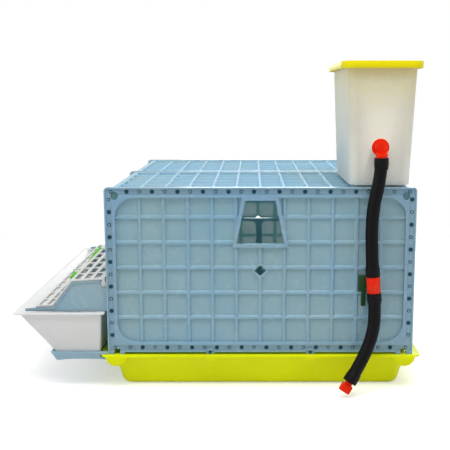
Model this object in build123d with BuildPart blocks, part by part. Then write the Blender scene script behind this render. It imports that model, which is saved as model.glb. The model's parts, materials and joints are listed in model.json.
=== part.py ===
"""Two-cell quail cage on a dropping tray, with feed trough, lattice covers, water tank and hose line.

Millimetres. +X points to the rear of the cage, +Y to the far side, +Z up.
The origin is the centre of the tray's underside.
"""

import os
from math import atan2, cos, radians, sin, tan

from build123d import *

os.makedirs("parts", exist_ok=True)

# Cage
cage_depth = 540.0
module_width = 300.0
panel_height = 294.0
panel_depth = 8.0
panel_corner_radius = 7.0
seat_gap = 0.1

# Layers of a moulded panel, measured from its inner face
skin = 1.8
rib_level = 5.0
channel_level = 5.0

# Ribs and border of the side panels
rib_width = 3.8
rib_draft = 38.0
rib_pitch_x = 42.0
rib_pitch_z = 44.8
rib_columns = 11
rib_rows = 5
rib_rise = 4.7
rib_overlap = 2.0
border = 18.0
field_radius = 34.0
outer_lip = 2.5
channel_width = 10.5

# Peg holes in the edge channel
peg_hole = 6.0
peg_floor = 1.0
peg_pitch = 44.0
peg_shift = 11.0
peg_count_x = 11
peg_count_z = 6

# Window, finger hole, corner sockets and feet of the side panels
window_top_half = 26.0
window_bottom_half = 42.0
window_sill = 47.8
window_head = 124.0
window_frame = 6.0
clover_half = 10.5
clover_round = 4.0
clover_boss = 4.5
corner_socket_radius = 6.5
corner_socket_depth = 5.5
corner_socket_inset_x = 18.0
corner_socket_inset_z = 15.0
foot_width = 30.0
foot_height = 4.0
foot_notch = 10.0
foot_notch_inset = 16.0

# Walls, roof and floor between the side panels
wall_inset = 8.0
wall_rise = 4.0
roof_inset = 12.0
roof_drop = 1.5
roof_columns = 12
roof_rows = 5
wall_border = 10.0
wall_draft = 20.0
wall_columns = 6
rear_rows = 4
front_rows = 2
floor_thickness = 3.0
floor_border = 12.0
floor_slot_width = 13.0
floor_slot_pitch = 24.0
floor_slot_columns = 11
floor_slot_rows = 2
floor_slot_bridge = 14.0
divider_columns = 5
divider_rows = 2

# Feeding gaps in the front walls
feed_gap_width = 33.0
feed_gap_pitch = 42.0
feed_gap_count = 6
feed_gap_sill = 24.0
feed_gap_height = 96.0
front_field_sill = 134.0

# Dropping tray
tray_height = 62.0
tray_wall = 2.5
tray_margin_x = 14.0
tray_margin_y = 9.0
tray_rim_thickness = 3.0
tray_rim_overhang = 18.0
tray_side_rim_overhang = 12.0
tray_draft = 17.0
tray_corner_radius = 16.0
tray_floor_radius = 14.0
tray_inner_bevel = 5.0
corner_lug_width = 37.0
corner_lug_drop = 16.0
corner_lug_inset = 29.0
middle_lug_width = 20.0
middle_lug_drop = 8.0
middle_lug_place = 89.0
lug_thickness = 2.5

# Feed trough
trough_margin = 5.0
trough_setback = 5.0
trough_mouth = 149.0
trough_base = 81.0
trough_back_lean = 3.0
trough_rim_width = 6.0
trough_rim_thickness = 3.0
trough_height = 70.0
trough_rise = 6.0
trough_wall = 2.4
trough_corner_radius = 5.0
trough_rim_radius = 8.0

# Trough shelf
shelf_lip_reach = 7.0
shelf_lip_lean = 11.0
shelf_floor = 3.0
shelf_web = 3.0
shelf_web_count = 5
shelf_plate = 3.0
shelf_plate_drop = 2.5
shelf_plate_arch = 2.5
shelf_clearance = 1.5
shelf_wall_gap = 0.3
shelf_rest_gap = 0.3
shelf_hook_gap = 1.0
tongue_width = 40.0
tongue_reach = 8.0
tongue_spacing = 220.0
tongue_count = 3
tongue_clearance = 0.2

# Sides of the polygons that stand for circles on small pieces
round_sides = 16
small_sides = 12

# Feeder cheeks and lattice covers
cheek_thickness = 4.0
middle_cheek_thickness = 18.0
cheek_clearance = 0.8
cheek_tip_radius = 1.8
cheek_tip_height = 4.7
cheek_lip = 50.0
middle_cheek_lip = 28.5
cheek_lip_fall = 3.0
slope_run = 34.0
flat_run = 56.0
flat_fall = 3.5
hinge_standoff = 6.5
hinge_height = 49.0
hinge_drop = 8.0
hinge_radius = 5.0
hinge_clearance = 0.3
cradle_drop = 4.0
grille_thickness = 3.4
grille_gap = 0.3
grille_lip = 30.5
grille_border = 4.0
grille_bar = 7.0
grille_columns = 6
grille_flat_rows = 3
grille_slope_rows = 3
grille_lip_rows = 2
grille_end_gap = 1.5

# Turn latches on the lattice covers, placed from the covers' outer and inner ends
latch_outer_place = 60.5
latch_inner_place = 10.5
latch_down_slope = 9.0
latch_head_radius = 8.0
latch_tail = 28.0
latch_tail_half = 2.6
latch_thickness = 5.5
latch_lift = 0.3
latch_pin_radius = 2.4
latch_pin_gap = 0.1
latch_keeper = 8.0
latch_keeper_thickness = 2.0

# Water tank and lid
tank_inset_x = 63.0
tank_inset_y = 125.0
tank_base_x = 104.0
tank_base_y = 229.0
tank_draft = 2.27
tank_height = 208.0
tank_wall = 2.2
tank_corner_radius = 15.0
tank_foot_height = 4.5
tank_foot_inset = 12.0
tank_foot_width = 4.0
tank_rim_width = 6.0
tank_rim_thickness = 3.0
lid_clearance = 1.0
lid_wall = 2.5
lid_height = 12.0
lid_seat_gap = 0.3

# Outlet elbow in the tank's near wall
elbow_shift = 2.4
elbow_height = 65.8
elbow_pad_radius = 14.5
elbow_pad_proud = 5.0
elbow_pad_length = 11.0
elbow_reach = 11.5
elbow_flange_radius = 15.0
elbow_flange_thickness = 4.0
elbow_seal_radius = 12.0
elbow_seal_thickness = 1.5
elbow_spigot_radius = 7.0
elbow_spigot_gap = 0.3
elbow_spigot_reach = 3.0
elbow_body_radius = 10.5
elbow_neck_radius = 9.0
elbow_drop = 17.0
nut_across_flats = 24.0
nut_thickness = 6.0

# Hose line on the near side
hose_radius = 11.0
hose_sides = 8
cuff_radius = 12.8
cuff_length = 20.0
cuff_gap = 0.35
coupling_inset = 74.8
coupling_standoff = 20.0
coupling_height = 127.6
coupling_tilt = 4.7
coupling_length = 29.0
coupling_radius = 11.9
branch_radius = 8.0
plug_neck_radius = 7.0
plug_neck_length = 4.0
plug_length = 15.0
plug_width = 20.0
plug_thickness = 9.0
plug_bevel = 1.5

# Routes of the hoses between their first and last runs
bend_share = 0.45
elbow_run = 30.0
upper_end_run = 44.0
lower_first_run = 38.0
upper_points = [(190.5, -317.0, 322.0)]
lower_points = [(194.0, -325.5, 100.0), (172.5, -338.0, 56.0), (153.0, -347.0, 27.0)]

# Clip that ties the coupling to the near side panel
clip_thickness = 3.0
clip_width = 13.0
clip_height = 29.0
clip_tail_width = 8.0
clip_tail_drop = 29.0
clip_fork = 12.0
clip_eye_gap = 0.15
clip_reach = 23.0
clip_drop = 3.0

# Drinkers on the water pipe inside
pipe_side = 13.0
pipe_hole_gap = 0.3
drinker_across_flats = 14.0
drinker_length = 17.0
drinker_nose_radius = 5.0
drinker_nose_height = 8.0
pin_radius = 1.5
pin_gap = 0.08
pin_reach = 7.0
pin_depth = 10.0
pin_travel = 2.0
pin_headroom = 0.5

# Places worked out from the sizes above
panel_bottom = tray_height + foot_height
panel_middle = panel_bottom + panel_height / 2
panel_top = panel_bottom + panel_height
side_face = module_width
side_inner = side_face - panel_depth
divider_half = panel_depth / 2
cell_width = side_inner - divider_half
cell_center = (side_inner + divider_half) / 2
wall_outer = cage_depth / 2 - wall_inset
wall_inner = wall_outer - panel_depth
roof_top = panel_top - roof_drop
roof_bottom = roof_top - panel_depth
wall_bottom = panel_bottom + wall_rise
wall_height = roof_bottom - wall_bottom
cells = {"near": -cell_center, "far": cell_center}
tray_rim_x = cage_depth + 2 * tray_margin_x
tray_rim_y = 2 * (side_face + tray_margin_y)
coupling_x = cage_depth / 2 - coupling_inset
coupling_y = -side_face - coupling_standoff
coupling_z = panel_bottom + coupling_height


def keep(builder, name):
    """Label a finished piece and write it to its own file."""
    builder.part.label = name
    export_step(builder.part, f"parts/{name}.step")


def upright_plane(origin, outward):
    """A plane on a standing wall: local y is up, local z points out of the wall."""
    up = Vector(0, 0, 1)
    out = Vector(*outward)
    return Plane(origin=origin, x_dir=up.cross(out), z_dir=out)


def upright_edge(edge):
    """Whether an edge climbs more than it runs."""
    return abs(edge.tangent_at(0.5).Z) > 0.5


near_plane = upright_plane((0, -side_inner, panel_middle), (0, -1, 0))
far_plane = upright_plane((0, side_inner, panel_middle), (0, 1, 0))
divider_plane = upright_plane((0, divider_half, panel_middle), (0, -1, 0))

field_x = cage_depth - 2 * border
field_z = panel_height - 2 * border
frame_top = field_z / 2
window_slope = (window_bottom_half - window_top_half) / (window_head - window_sill)
frame_top_half = window_top_half + window_frame
frame_foot = window_sill - window_frame
frame_foot_half = window_bottom_half + window_frame + window_slope * window_frame


def window_opening():
    """The trapezoid opening, as a closed outline in the panel's own plane."""
    return Polygon(
        (-window_bottom_half, window_sill),
        (window_bottom_half, window_sill),
        (window_top_half, window_head),
        (-window_top_half, window_head),
        align=None,
        mode=Mode.PRIVATE,
    )


def window_surround():
    """The raised frame's outer outline round the trapezoid opening."""
    return Polygon(
        (-frame_foot_half, frame_foot),
        (frame_foot_half, frame_foot),
        (frame_top_half, frame_top),
        (-frame_top_half, frame_top),
        align=None,
        mode=Mode.PRIVATE,
    )


def clover(half):
    """A diamond with rounded top and bottom tips."""
    with BuildSketch(mode=Mode.PRIVATE) as outline:
        Polygon((-half, 0), (0, -half), (half, 0), (0, half), align=None)
        tips = outline.vertices().sort_by(Axis.Y)
        fillet([tips[0], tips[-1]], radius=clover_round)
    return outline.sketch


def spread(count, pitch):
    """Evenly pitched places about a middle."""
    return [(i - (count - 1) / 2) * pitch for i in range(count)]


def rib_bars(plane, along, places, length, top, draft):
    """Drafted ribs on a panel's skin that run along one direction of its plane, at places across it."""
    root = skin / 2
    root_half = rib_width / 2 + (top - root) * tan(radians(draft))
    with BuildPart() as bars:
        with BuildSketch(Plane(plane.origin, x_dir=plane.z_dir.cross(along), z_dir=along)):
            with Locations(*[(place, 0) for place in places]):
                Polygon(
                    (-root_half, root),
                    (root_half, root),
                    (rib_width / 2, top),
                    (-rib_width / 2, top),
                    align=None,
                )
        extrude(amount=length / 2 + rib_overlap, both=True)
    return bars.part


def side_panel(name, plane, columns, rows, pitch_x, pitch_z, pegs, pipe):
    """A ribbed panel with an edge channel, a framed window, a finger hole and corner feet."""
    pipe_at = plane.to_local_coords(Vector(coupling_x, plane.origin.Y, coupling_z))
    foot_at = cage_depth / 2 - foot_width / 2
    notch_at = cage_depth / 2 - foot_notch_inset
    socket_x = cage_depth / 2 - corner_socket_inset_x
    socket_z = panel_height / 2 - corner_socket_inset_z
    channel_line = outer_lip + channel_width / 2
    with BuildPart() as panel:
        with BuildSketch(plane):
            RectangleRounded(cage_depth, panel_height, panel_corner_radius)
            with Locations((-foot_at, -panel_height / 2), (foot_at, -panel_height / 2)):
                Rectangle(foot_width, 2 * (foot_height - seat_gap))
            with Locations((-notch_at, -panel_height / 2), (notch_at, -panel_height / 2)):
                Rectangle(foot_notch, foot_notch, mode=Mode.SUBTRACT)
        extrude(amount=panel_depth)
        # edge channel between the outer lip and the inner frame
        with BuildSketch(plane.offset(panel_depth)):
            channel_x = cage_depth - 2 * outer_lip
            channel_z = panel_height - 2 * outer_lip
            Rectangle(channel_x, channel_z)
            Rectangle(
                channel_x - 2 * channel_width,
                channel_z - 2 * channel_width,
                mode=Mode.SUBTRACT,
            )
        extrude(amount=channel_level - panel_depth, mode=Mode.SUBTRACT)
        # field sunk to the skin, leaving the window frame proud
        with BuildSketch(plane.offset(panel_depth)):
            RectangleRounded(field_x, field_z, field_radius)
            add(window_surround(), mode=Mode.SUBTRACT)
        extrude(amount=skin - panel_depth, mode=Mode.SUBTRACT)
        # ribs across the field, and a boss round the finger hole
        rows_at = [rib_rise + place for place in spread(rows, pitch_z)]
        add(rib_bars(plane, plane.y_dir, spread(columns, pitch_x), field_z, rib_level, rib_draft))
        add(rib_bars(plane, plane.x_dir, rows_at, field_x, rib_level, rib_draft))
        with BuildSketch(plane):
            add(clover(clover_half + clover_boss))
        extrude(amount=rib_level)
        # openings right through
        with BuildSketch(plane):
            add(window_opening())
            add(clover(clover_half))
            if pipe:
                with Locations((pipe_at.X, pipe_at.Y)):
                    Rectangle(pipe_side + 2 * pipe_hole_gap, pipe_side + 2 * pipe_hole_gap)
        extrude(amount=panel_depth, mode=Mode.SUBTRACT)
        # blind peg holes in the channel and sockets in the top corners
        if pegs:
            edge_x = cage_depth / 2 - channel_line
            edge_z = panel_height / 2 - channel_line
            with BuildSketch(plane.offset(channel_level)):
                with Locations((-peg_shift, edge_z), (peg_shift, -edge_z)):
                    with GridLocations(peg_pitch, 0, peg_count_x, 1):
                        Rectangle(peg_hole, peg_hole)
                with Locations((-edge_x, rib_rise - peg_shift), (edge_x, rib_rise + peg_shift)):
                    with GridLocations(0, peg_pitch, 1, peg_count_z):
                        Rectangle(peg_hole, peg_hole)
            extrude(amount=peg_floor - channel_level, mode=Mode.SUBTRACT)
            with BuildSketch(plane.offset(panel_depth)):
                with Locations((-socket_x, socket_z), (socket_x, socket_z)):
                    RegularPolygon(corner_socket_radius, small_sides)
            extrude(amount=-corner_socket_depth, mode=Mode.SUBTRACT)
    keep(panel, name)


side_panel("near_side_panel", near_plane, rib_columns, rib_rows, rib_pitch_x, rib_pitch_z, True, True)
side_panel("far_side_panel", far_plane, rib_columns, rib_rows, rib_pitch_x, rib_pitch_z, True, False)
side_panel(
    "divider_panel",
    divider_plane,
    divider_columns,
    divider_rows,
    2 * rib_pitch_x,
    2 * rib_pitch_z,
    False,
    True,
)


def wall_ribs(plane, width, height, columns, rows):
    """A grid of ribs, flush with the border, that parts a sunk field into equal pockets."""
    step_x = (width + rib_width) / columns
    step_y = (height + rib_width) / rows
    upright = rib_bars(plane, plane.y_dir, spread(columns - 1, step_x), height, panel_depth, wall_draft)
    level = rib_bars(plane, plane.x_dir, spread(rows - 1, step_y), width, panel_depth, wall_draft)
    return upright + level


wall_width = cell_width - 2 * seat_gap

field_width = wall_width - 2 * wall_border

# Roof panels
roof_x = cage_depth - 2 * roof_inset
roof_field = roof_x - 2 * wall_border
for side, center in cells.items():
    plane = Plane((0, center, roof_bottom))
    with BuildPart() as roof:
        with BuildSketch(plane):
            Rectangle(roof_x, wall_width)
        extrude(amount=panel_depth)
        with BuildSketch(plane.offset(panel_depth)):
            Rectangle(roof_field, field_width)
        extrude(amount=skin - panel_depth, mode=Mode.SUBTRACT)
        add(wall_ribs(plane, roof_field, field_width, roof_columns, roof_rows))
    keep(roof, f"{side}_roof_panel")

# Rear walls
rear_field = wall_height - 2 * wall_border
for side, center in cells.items():
    plane = upright_plane((wall_inner, center, wall_bottom + wall_height / 2), (1, 0, 0))
    with BuildPart() as rear:
        with BuildSketch(plane):
            Rectangle(wall_width, wall_height)
        extrude(amount=panel_depth)
        with BuildSketch(plane.offset(panel_depth)):
            Rectangle(field_width, rear_field)
        extrude(amount=skin - panel_depth, mode=Mode.SUBTRACT)
        add(wall_ribs(plane, field_width, rear_field, wall_columns, rear_rows))
    keep(rear, f"{side}_rear_panel")

# Front walls, ribbed above and open below as feeding gaps
front_field = wall_height - front_field_sill - wall_border
front_middle = wall_bottom + front_field_sill + front_field / 2
for side, center in cells.items():
    plane = upright_plane((-wall_inner, center, wall_bottom), (-1, 0, 0))
    field_plane = upright_plane((-wall_inner, center, front_middle), (-1, 0, 0))
    with BuildPart() as front:
        with BuildSketch(plane):
            with Locations((0, wall_height / 2)):
                Rectangle(wall_width, wall_height)
            with Locations((0, feed_gap_sill + feed_gap_height / 2)):
                with GridLocations(feed_gap_pitch, 0, feed_gap_count, 1):
                    Rectangle(feed_gap_width, feed_gap_height, mode=Mode.SUBTRACT)
        extrude(amount=panel_depth)
        with BuildSketch(field_plane.offset(panel_depth)):
            Rectangle(field_width, front_field)
        extrude(amount=skin - panel_depth, mode=Mode.SUBTRACT)
        add(wall_ribs(field_plane, field_width, front_field, wall_columns, front_rows))
    keep(front, f"{side}_front_panel")

# Slotted floors
floor_x = 2 * (wall_inner - seat_gap)
slot_length = (floor_x - 2 * floor_border - (floor_slot_rows - 1) * floor_slot_bridge) / floor_slot_rows
for side, center in cells.items():
    with BuildPart() as floor:
        with BuildSketch(Plane.XY.offset(wall_bottom)):
            with Locations((0, center)):
                Rectangle(floor_x, wall_width)
                with GridLocations(
                    slot_length + floor_slot_bridge,
                    floor_slot_pitch,
                    floor_slot_rows,
                    floor_slot_columns,
                ):
                    Rectangle(slot_length, floor_slot_width, mode=Mode.SUBTRACT)
        extrude(amount=floor_thickness)
    keep(floor, f"{side}_floor_grid")

# Dropping tray
rim_underside = tray_height - tray_rim_thickness
tray_mouth_x = tray_rim_x - 2 * tray_rim_overhang
tray_mouth_y = tray_rim_y - 2 * tray_side_rim_overhang
tray_slope = tan(radians(tray_draft))
tray_inset = rim_underside * tray_slope
shelf_top = rim_underside - shelf_clearance
shelf_under = shelf_top - shelf_floor
corner_lug_place = tray_rim_x / 2 - corner_lug_inset


def lugs(place, width, drop):
    """A pair of round-bottomed lugs that hang from the rim's underside."""
    for middle in (-place, place):
        left = (middle - width / 2, rim_underside)
        right = (middle + width / 2, rim_underside)
        with BuildLine() as outline:
            ThreePointArc(left, (middle, rim_underside - drop), right)
            Line(right, left)
        make_face(outline.edges())


def tray_floor(bottom, wall):
    """The rounded outline of the tray's floor inside a wall."""
    inset = 2 * (tray_inset + wall)
    with BuildSketch(Plane.XY.offset(bottom)) as outline:
        RectangleRounded(tray_mouth_x - inset, tray_mouth_y - inset, tray_corner_radius - wall)
    return outline.sketch


with BuildPart() as tray_hollow:
    extrude(tray_floor(tray_wall, tray_wall), amount=tray_height, taper=-tray_draft)
    chamfer(tray_hollow.faces().sort_by(Axis.Z)[0].edges(), length=tray_inner_bevel)

with BuildPart() as tray:
    extrude(tray_floor(0, 0), amount=rim_underside, taper=-tray_draft)
    fillet(tray.faces().sort_by(Axis.Z)[0].edges(), radius=tray_floor_radius)
    with BuildSketch(Plane.XY.offset(rim_underside)):
        RectangleRounded(tray_rim_x, tray_rim_y, tray_corner_radius)
    extrude(amount=tray_rim_thickness)
    add(tray_hollow.part, mode=Mode.SUBTRACT)
    for outward in (-1, 1):
        lug_back = outward * (tray_rim_y / 2 - lug_thickness)
        with BuildSketch(upright_plane((0, lug_back, 0), (0, outward, 0))):
            lugs(corner_lug_place, corner_lug_width, corner_lug_drop)
            lugs(middle_lug_place, middle_lug_width, middle_lug_drop)
        extrude(amount=lug_thickness)
    # slots in the front wall for the shelf's tongues
    with BuildSketch(Plane.XY.offset(shelf_under - tongue_clearance)):
        with Locations((-tray_mouth_x / 2, 0)):
            with GridLocations(0, tongue_spacing, 1, tongue_count):
                Rectangle(2 * tongue_reach, tongue_width + 2 * tongue_clearance)
    extrude(amount=shelf_floor + 2 * tongue_clearance, mode=Mode.SUBTRACT)
keep(tray, "manure_tray")

# Trough shelf, hung from the tray's front wall by tongues
trough_bottom = tray_height + trough_rise
trough_top = trough_bottom + trough_height
trough_rim_inner = cage_depth / 2 + trough_setback
mouth_inner = trough_rim_inner + trough_rim_width
mouth_outer = mouth_inner + trough_mouth
trough_rim_outer = mouth_outer + trough_rim_width
trough_base_inner = mouth_inner + trough_back_lean
trough_base_outer = trough_base_inner + trough_base
trough_length = 2 * (side_face + trough_margin)
body_length = trough_length - 2 * trough_rim_width
shelf_length = body_length + 2 * shelf_plate
shelf_tip = trough_base_outer + shelf_lip_reach
shelf_heel = shelf_tip - shelf_lip_lean
shelf_rest = trough_bottom - shelf_rest_gap
plate_bottom = shelf_under - shelf_plate_drop
plate_inner = tray_rim_x / 2 - tray_rim_overhang + shelf_wall_gap
rim_front = tray_rim_x / 2 + shelf_wall_gap
shelf_inner = tray_mouth_x / 2 + shelf_wall_gap
plate_middle = (shelf_heel + plate_inner) / 2
hook_under = tray_height + shelf_wall_gap
hook_end = cage_depth / 2 + shelf_hook_gap
with BuildPart() as shelf:
    # gutter section along the whole front
    with BuildSketch(Plane.XZ):
        Polygon(
            (-shelf_heel, shelf_under),
            (-shelf_inner, shelf_under),
            (-shelf_inner, shelf_top),
            (-shelf_heel + shelf_floor, shelf_top),
            (-shelf_tip + shelf_floor, shelf_rest),
            (-shelf_tip, shelf_rest),
            align=None,
        )
    extrude(amount=shelf_length / 2, both=True)
    # end plates with an arched foot
    for outward in (-1, 1):
        plate_outer = outward * shelf_length / 2
        with BuildSketch(Plane((0, plate_outer, 0), x_dir=(1, 0, 0), z_dir=(0, -1, 0))):
            with BuildLine():
                Polyline(
                    (-plate_inner, plate_bottom),
                    (-plate_inner, shelf_top),
                    (-rim_front, shelf_top),
                    (-rim_front, hook_under),
                    (-hook_end, hook_under),
                    (-hook_end, shelf_rest),
                    (-shelf_tip, shelf_rest),
                    (-shelf_heel, plate_bottom),
                )
                ThreePointArc(
                    (-shelf_heel, plate_bottom),
                    (-plate_middle, plate_bottom + shelf_plate_arch),
                    (-plate_inner, plate_bottom),
                )
            make_face()
        extrude(amount=outward * shelf_plate)
    # webs that carry the trough
    with BuildSketch(Plane.XY.offset(shelf_top)):
        with Locations((-(shelf_tip - shelf_floor + rim_front) / 2, 0)):
            with GridLocations(0, shelf_length / (shelf_web_count + 1), 1, shelf_web_count):
                Rectangle(shelf_tip - shelf_floor - rim_front, shelf_web)
    extrude(amount=shelf_rest - shelf_top)
    # tongues through the tray's front wall
    with BuildSketch(Plane.XY.offset(shelf_under)):
        with Locations((-shelf_inner + tongue_reach / 2, 0)):
            with GridLocations(0, tongue_spacing, 1, tongue_count):
                Rectangle(tongue_reach, tongue_width)
    extrude(amount=shelf_floor)
keep(shelf, "trough_shelf")

# Feed trough
rim_middle = (trough_rim_outer + trough_rim_inner) / 2


def trough_prism(inset, bottom, top, length, corner):
    """A long trapezoid prism with rounded upright corners."""
    lean = (mouth_outer - trough_base_outer) / trough_height
    back = (trough_base_inner - mouth_inner) / trough_height
    with BuildPart() as prism:
        with BuildSketch(Plane.XZ):
            Polygon(
                (-trough_base_outer - lean * bottom + inset, trough_bottom + bottom),
                (-trough_base_inner + back * bottom - inset, trough_bottom + bottom),
                (-trough_base_inner + back * top - inset, trough_bottom + top),
                (-trough_base_outer - lean * top + inset, trough_bottom + top),
                align=None,
            )
        extrude(amount=length / 2, both=True)
        fillet(prism.edges().filter_by(upright_edge), radius=corner)
    return prism.part


trough_solid = trough_prism(0, 0, trough_height, body_length, trough_corner_radius)
trough_hollow = trough_prism(
    trough_wall,
    trough_wall,
    trough_height,
    body_length - 2 * trough_wall,
    trough_corner_radius - trough_wall,
)
with BuildPart() as trough:
    add(trough_solid)
    with BuildSketch(Plane.XY.offset(trough_top - trough_rim_thickness)):
        with Locations((-rim_middle, 0)):
            RectangleRounded(trough_rim_outer - trough_rim_inner, trough_length, trough_rim_radius)
    extrude(amount=trough_rim_thickness)
    add(trough_hollow, mode=Mode.SUBTRACT)
keep(trough, "feed_trough")

# Feeder cheeks
cheek_bottom = trough_top + cheek_clearance
cradle_radius = hinge_radius + hinge_clearance
cradle_right = (cradle_radius**2 - cradle_drop**2) ** 0.5
hinge_x = cage_depth / 2 + hinge_standoff
hinge_z = trough_top + hinge_height
cheek_top_z = hinge_z + hinge_drop
cheek_bend_x = hinge_x + flat_run
cheek_bend_z = cheek_top_z - flat_fall
cheek_knee_x = cheek_bend_x + slope_run
cheek_tip_z = cheek_bottom + cheek_tip_height
cheek_knee_z = cheek_tip_z + cheek_lip_fall
cheek_tip = cheek_knee_x + cheek_lip
middle_cheek_tip = cheek_knee_x + middle_cheek_lip


def cheek(name, y_low, thickness, inner, tip):
    """A profile plate whose upper edge carries a lattice cover, with a cradle for its hinge rod."""
    with BuildPart() as plate:
        with BuildSketch(Plane((0, y_low + thickness, 0), x_dir=(1, 0, 0), z_dir=(0, -1, 0))) as outline:
            with BuildLine():
                Polyline(
                    (-hinge_x + cradle_right, hinge_z - cradle_drop),
                    (-inner, hinge_z - cradle_drop),
                    (-inner, cheek_bottom),
                    (-tip, cheek_bottom),
                    (-tip, cheek_tip_z),
                    (-cheek_knee_x, cheek_knee_z),
                    (-cheek_bend_x, cheek_bend_z),
                    (-hinge_x - cradle_radius, cheek_top_z),
                    (-hinge_x - cradle_radius, hinge_z),
                )
                ThreePointArc(
                    (-hinge_x - cradle_radius, hinge_z),
                    (-hinge_x, hinge_z - cradle_radius),
                    (-hinge_x + cradle_right, hinge_z - cradle_drop),
                )
            make_face()
            tip_corners = outline.vertices().group_by(Axis.X)[0]
            fillet(tip_corners, radius=cheek_tip_radius)
        extrude(amount=thickness)
    keep(plate, name)


cheek("near_feeder_cheek", -side_inner, cheek_thickness, wall_outer, cheek_tip)
cheek("far_feeder_cheek", side_inner - cheek_thickness, cheek_thickness, wall_outer, cheek_tip)
cheek(
    "middle_feeder_cheek",
    -middle_cheek_thickness / 2,
    middle_cheek_thickness,
    cage_depth / 2,
    middle_cheek_tip,
)

# Lattice covers over the trough
slope_angle = atan2(cheek_bend_z - cheek_knee_z, slope_run)
grille_lift = grille_gap / cos(slope_angle)
grille_end_x = cheek_knee_x + grille_lip
grille_end_z = cheek_knee_z - grille_lip * cheek_lip_fall / cheek_lip
flat_slope = flat_fall / (flat_run - cradle_radius)
hinge_end_z = cheek_bend_z + flat_slope * (flat_run + hinge_radius / 2)
hinge_end = Vector(-hinge_x + hinge_radius / 2, 0, hinge_end_z + grille_lift)
bend = Vector(-cheek_bend_x, 0, cheek_bend_z + grille_lift)
knee = Vector(-cheek_knee_x, 0, cheek_knee_z + grille_lift)
lip_end = Vector(-grille_end_x, 0, grille_end_z + grille_lift)
grille_outer = side_inner - grille_end_gap
grille_inner = divider_half + grille_end_gap
grille_length = grille_outer - grille_inner
grille_center = (grille_outer + grille_inner) / 2
web_top = cheek_top_z + grille_lift + grille_thickness


def sheet_plane(start, end, y_middle):
    """A plane on a run of the lattice: local x along Y, local y along the run, local z out of it."""
    along = end - start
    middle = (start + end) / 2
    out = Vector(0, 1, 0).cross(along)
    return Plane(origin=(middle.X, y_middle, middle.Z), x_dir=(0, 1, 0), z_dir=out)


def lattice_holes(start, end, y_middle, rows):
    """Rectangular holes in rows and columns on one run of the lattice."""
    run = (end - start).length
    step_x = (grille_length - 2 * grille_border + grille_bar) / grille_columns
    step_y = (run - 2 * grille_border + grille_bar) / rows
    with BuildSketch(sheet_plane(start, end, y_middle)) as holes:
        with GridLocations(step_x, step_y, grille_columns, rows):
            Rectangle(step_x - grille_bar, step_y - grille_bar)
    return holes.sketch


def latch_planes(sign):
    """Planes at a cover's outer and inner latch pivots, on its slope, local y down the slope."""
    along = (knee - bend).normalized()
    out = Vector(0, 1, 0).cross(along).normalized()
    pivot = bend + along * latch_down_slope + out * grille_thickness
    return [
        Plane(origin=(pivot.X, sign * place, pivot.Z), x_dir=(0, 1, 0), z_dir=out)
        for place in (grille_outer - latch_outer_place, grille_inner + latch_inner_place)
    ]


latch_pad = 2 * latch_head_radius
for side, sign in (("near", -1), ("far", 1)):
    y_middle = sign * grille_center
    with BuildPart() as grille:
        with BuildSketch(Plane((0, y_middle, 0), x_dir=(1, 0, 0), z_dir=(0, -1, 0))):
            with BuildLine():
                Polyline(*[(p.X, p.Z) for p in (hinge_end, bend, knee, lip_end)])
                offset(
                    amount=grille_thickness,
                    side=Side.RIGHT,
                    kind=Kind.INTERSECTION,
                    closed=True,
                )
            make_face()
            with Locations((-hinge_x, hinge_z)):
                Circle(hinge_radius)
            with Locations((-hinge_x, (hinge_z + web_top) / 2)):
                Rectangle(hinge_radius, web_top - hinge_z)
        extrude(amount=grille_length / 2, both=True)
        flat_start = hinge_end - Vector(hinge_radius, 0, 0)
        for start, end, rows in (
            (flat_start, bend, grille_flat_rows),
            (bend, knee, grille_slope_rows),
            (knee, lip_end, grille_lip_rows),
        ):
            holes = lattice_holes(start, end, y_middle, rows)
            extrude(holes, amount=2 * grille_thickness, both=True, mode=Mode.SUBTRACT)
        for plane in latch_planes(sign):
            with BuildSketch(plane):
                Rectangle(latch_pad, latch_pad)
            extrude(amount=-grille_thickness)
            with BuildSketch(plane):
                Rectangle(*[2 * (latch_pin_radius + latch_pin_gap)] * 2)
            extrude(amount=-grille_thickness, mode=Mode.SUBTRACT)
    keep(grille, f"{side}_feed_grille")

# Turn latches: the near outer one is turned along the cover, the others point down the slope
for side, sign in (("near", -1), ("far", 1)):
    for plane, place in zip(latch_planes(sign), ("outer", "inner")):
        name = f"{side}_{place}_latch"
        tail = (latch_tail, 0) if name == "near_outer_latch" else (0, latch_tail)
        with BuildPart() as latch:
            with BuildSketch(plane.offset(latch_lift)):
                RegularPolygon(latch_head_radius, round_sides)
                with Locations(tail):
                    RegularPolygon(latch_tail_half, small_sides)
                make_hull()
            extrude(amount=latch_thickness)
            with BuildSketch(plane.offset(latch_lift)):
                RegularPolygon(latch_pin_radius, small_sides)
            extrude(amount=-(grille_thickness + 2 * latch_lift))
            with BuildSketch(plane.offset(-grille_thickness - latch_lift)):
                Rectangle(latch_keeper, latch_keeper)
            extrude(amount=-latch_keeper_thickness)
        keep(latch, name)

# Water tank
tank_bottom = roof_top + tank_foot_height
tank_top = tank_bottom + tank_height
tank_at = (cage_depth / 2 - tank_inset_x, tank_inset_y - side_face)
tank_slope = tan(radians(tank_draft))
tank_spread = 2 * tank_height * tank_slope
elbow_x = tank_at[0] - elbow_shift
elbow_z = tank_bottom + elbow_height
elbow_pad_y = tank_at[1] - tank_base_y / 2 - elbow_height * tank_slope - elbow_pad_proud
elbow_plane = upright_plane((elbow_x, elbow_pad_y, elbow_z), (0, -1, 0))


def flared(width):
    """An upright section of the tank that widens with its draft."""
    mouth = width + tank_spread
    Polygon(
        (-width / 2, 0),
        (width / 2, 0),
        (mouth / 2, tank_height),
        (-mouth / 2, tank_height),
        align=None,
    )


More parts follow.
